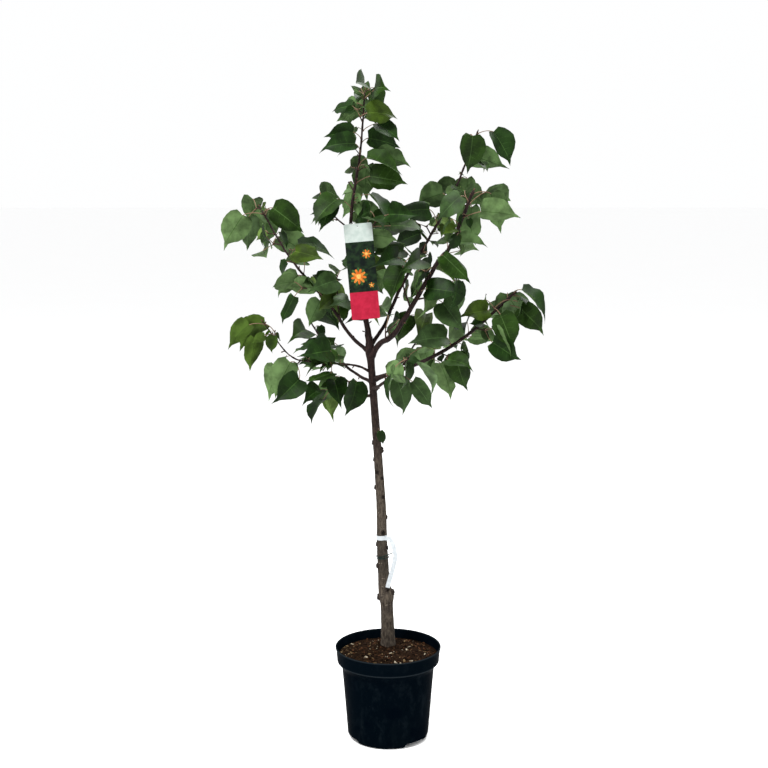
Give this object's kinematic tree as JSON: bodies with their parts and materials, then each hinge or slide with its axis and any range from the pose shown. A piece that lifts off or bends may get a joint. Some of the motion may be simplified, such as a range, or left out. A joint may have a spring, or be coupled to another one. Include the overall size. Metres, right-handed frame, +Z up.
{
  "type": "potted apricot tree",
  "caption": "Young apricot tree with an open crown of heart-shaped leaves, growing in a round black nursery pot with a blank hang tag.",
  "frame": {"origin": "centre of the pot's flat underside, which stands on the ground", "axes": "+Z up, the trunk's way of growth; +X to the right and -Y towards the viewer in the picture"},
  "size_m": [0.8388, 0.5853, 1.7618],
  "materials": {
    "pot": "black, slightly glossy moulded plastic",
    "soil": "dark brown bark compost",
    "bark": "grey-brown to reddish bark",
    "leaf": "dark green leaf, satin",
    "card": "satin plastic card",
    "strip": "white plastic strip",
    "wire": "dark green coated wire"
  },
  "bodies": {
    "root": {"bough_front": "bark", "bough_left_high": "bark", "bough_left_low": "bark", "bough_left_thin": "bark", "bough_rear": "bark", "bough_rear_left": "bark", "bough_rear_right": "bark", "bough_right_front": "bark", "bough_right_low": "bark", "bough_right_rear": "bark", "foliage_fork": "leaf", "foliage_front": "leaf", "foliage_inner_left": "leaf", "foliage_inner_right": "leaf", "foliage_leader_high": "leaf", "foliage_leader_left": "leaf", "foliage_leader_low": "leaf", "foliage_leader_mid": "leaf", "foliage_leader_right": "leaf", "foliage_leader_tip": "leaf", "foliage_leader_top": "leaf", "foliage_left_hanging": "leaf", "foliage_left_high_low": "leaf", "foliage_left_high_mid": "leaf", "foliage_left_high_tip": "leaf", "foliage_left_high_upper": "leaf", "foliage_left_low": "leaf", "foliage_left_thin_mid": "leaf", "foliage_left_thin_near": "leaf", "foliage_left_thin_tip": "leaf", "foliage_rear_left": "leaf", "foliage_rear_low": "leaf", "foliage_rear_right": "leaf", "foliage_rear_tip": "leaf", "foliage_right_front_low": "leaf", "foliage_right_front_mid": "leaf", "foliage_right_front_tip": "leaf", "foliage_right_low_mid": "leaf", "foliage_right_low_near": "leaf", "foliage_right_low_tip": "leaf", "foliage_right_outer": "leaf", "foliage_right_rear_low": "leaf", "foliage_right_rear_mid": "leaf", "foliage_right_rear_tip": "leaf", "foliage_right_rear_upper": "leaf", "leader": "bark", "pot": "pot", "soil": "soil", "tag_card": "card", "tag_loop": "strip", "tag_strip": "strip", "trunk": "bark", "trunk_wire": "wire"}
  },
  "joints": []
}
